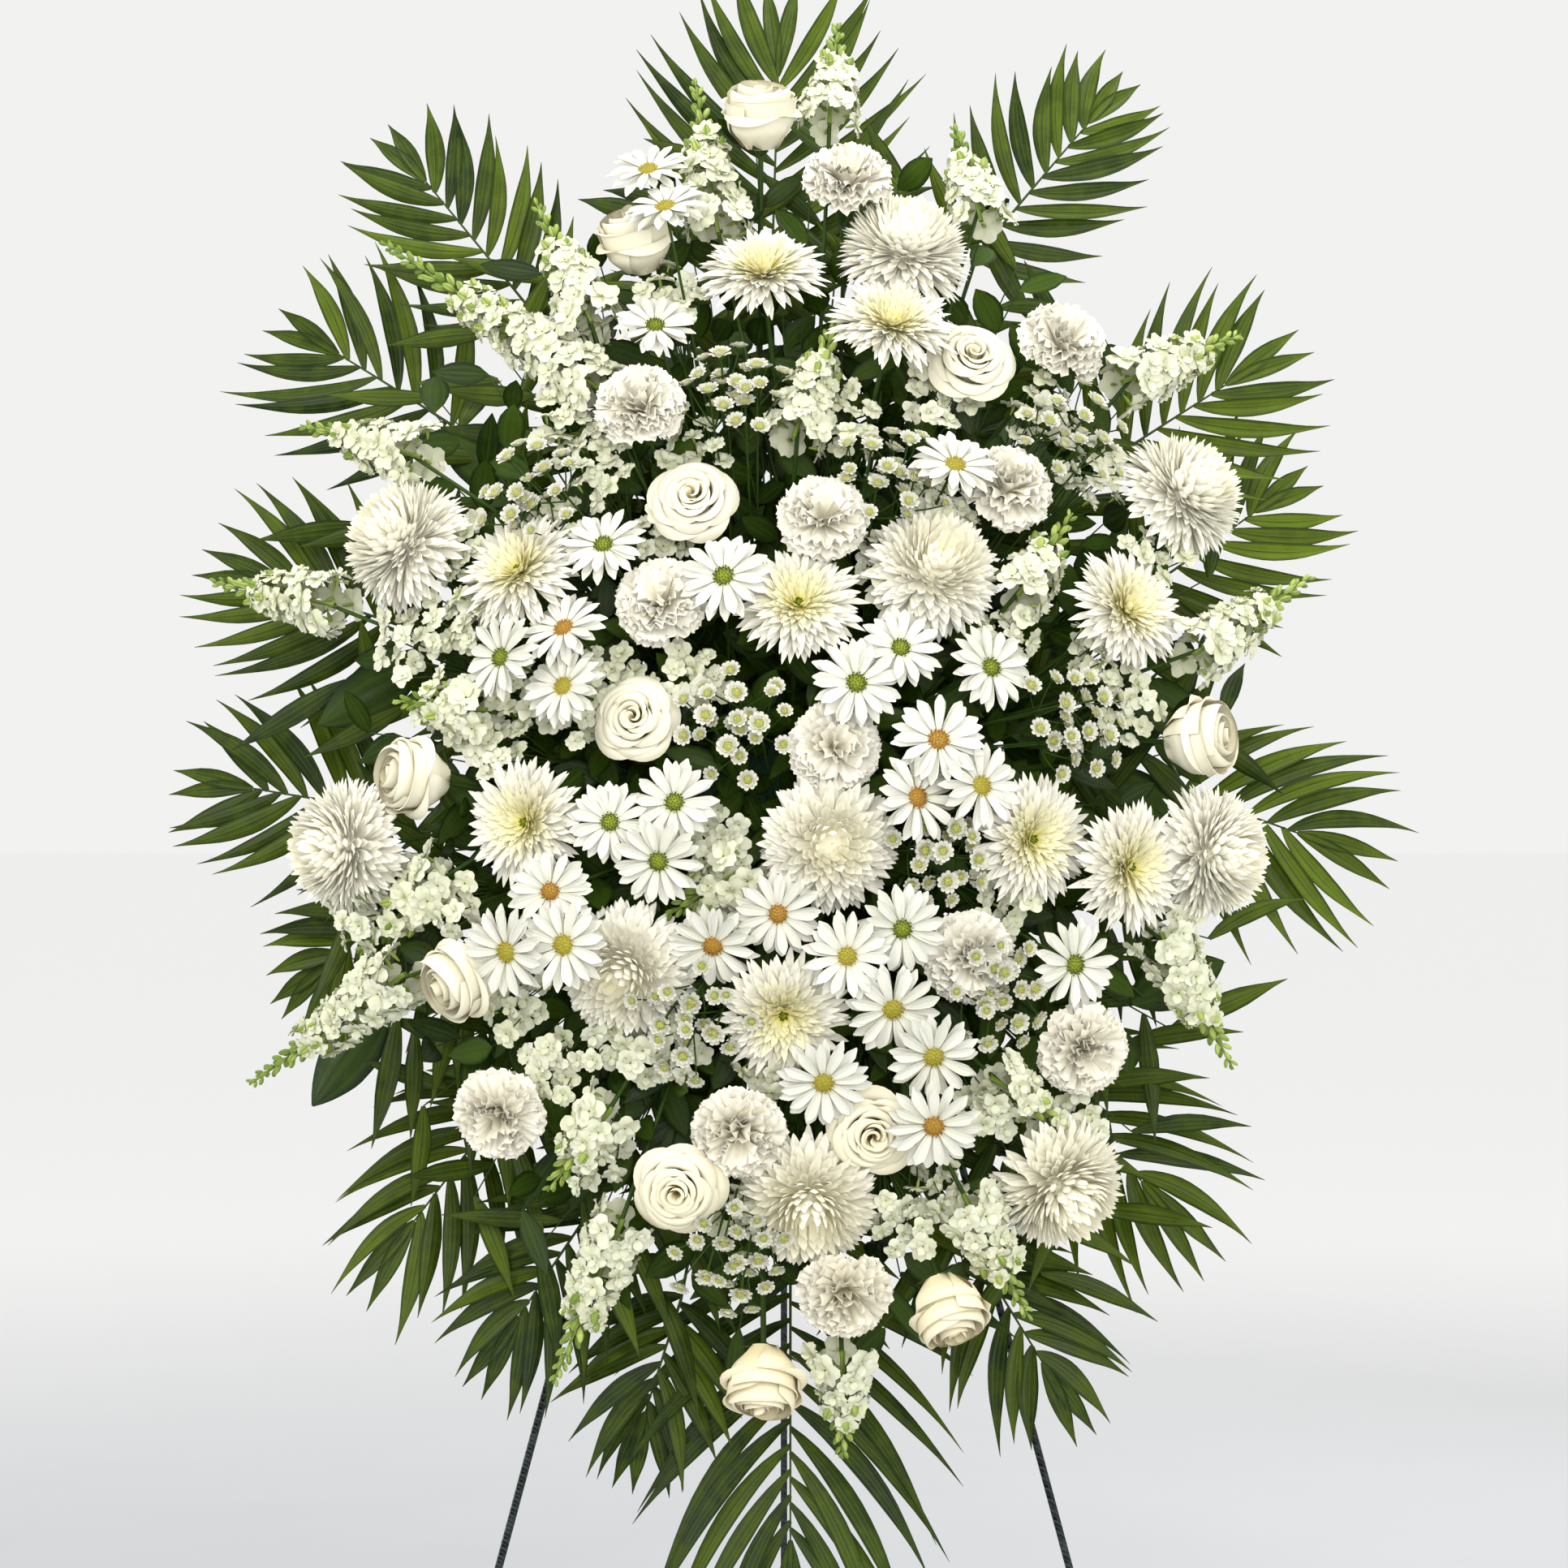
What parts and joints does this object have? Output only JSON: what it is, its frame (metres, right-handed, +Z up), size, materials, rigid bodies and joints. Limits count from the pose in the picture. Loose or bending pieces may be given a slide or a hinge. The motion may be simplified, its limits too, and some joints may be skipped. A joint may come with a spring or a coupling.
{
  "type": "standing funeral spray on a wire easel",
  "caption": "Large oval standing spray of white roses, mums, carnations, daisies and stock with palm fronds, held in floral foam on a folding three-legged wire easel.",
  "frame": {"origin": "middle of the overall box on the floor", "axes": "+Z up, the blooms face -Y, +X to the viewer's right"},
  "size_m": [0.9956, 0.813, 1.8016],
  "materials": {
    "easel_paint": "dark green-black semi-gloss paint on wire",
    "cage_plastic": "dark green moulded plastic",
    "foam": "wet dark green floral foam",
    "palm": "deep green palm leaflets with a soft sheen",
    "large_leaf": "dark green glossy leaf",
    "rose": "cream-white velvety petals",
    "football_mum": "white incurved petals",
    "disbud_mum": "white petals round a pale yellow heart",
    "carnation": "white ruffled petals",
    "daisy": "white petals round a green, yellow or brown eye",
    "stock": "white florets with green buds at the tip",
    "button_pom": "white rim round a green-yellow eye"
  },
  "bodies": {
    "spray_and_front_frame": {"easel_leg_left": "easel_paint", "easel_leg_right": "easel_paint", "easel_cross_bars": "easel_paint", "foam_cage": "cage_plastic", "floral_foam": "foam", "palm_frond_01": "palm", "palm_frond_02": "palm", "palm_frond_03": "palm", "palm_frond_04": "palm", "palm_frond_05": "palm", "palm_frond_06": "palm", "palm_frond_07": "palm", "palm_frond_08": "palm", "palm_frond_09": "palm", "palm_frond_10": "palm", "palm_frond_11": "palm", "palm_frond_12": "palm", "palm_frond_13": "palm", "palm_frond_14": "palm", "palm_frond_15": "palm", "palm_frond_16": "palm", "large_leaves_01": "large_leaf", "large_leaves_02": "large_leaf", "rose_01": "rose", "rose_02": "rose", "rose_03": "rose", "rose_04": "rose", "rose_05": "rose", "rose_06": "rose", "football_mum_01": "football_mum", "football_mum_02": "football_mum", "football_mum_03": "football_mum", "football_mum_04": "football_mum", "football_mum_05": "football_mum", "disbud_mum_01": "disbud_mum", "disbud_mum_02": "disbud_mum", "disbud_mum_03": "disbud_mum", "disbud_mum_04": "disbud_mum", "carnation_01": "carnation", "carnation_02": "carnation", "carnation_03": "carnation", "carnation_04": "carnation", "carnation_05": "carnation", "daisy_spray_01": "daisy", "daisy_spray_02": "daisy", "daisy_spray_03": "daisy", "daisy_spray_04": "daisy", "daisy_spray_05": "daisy", "daisy_spray_06": "daisy", "stock_spikes_01": "stock", "stock_spikes_02": "stock", "stock_spikes_03": "stock", "stock_spikes_04": "stock", "stock_spikes_05": "stock", "stock_spikes_06": "stock", "button_poms_01": "button_pom", "button_poms_02": "button_pom", "button_poms_03": "button_pom", "button_poms_04": "button_pom"},
    "back_leg": {"easel_back_leg": "easel_paint"}
  },
  "joints": [
    {"name": "back_leg_hinge", "type": "hinge", "parent": "spray_and_front_frame", "child": "back_leg", "pos_m": [0, -0.02128, 1.28986], "axis": [-1, 0, 0], "range_deg": [0, 27]}
  ]
}
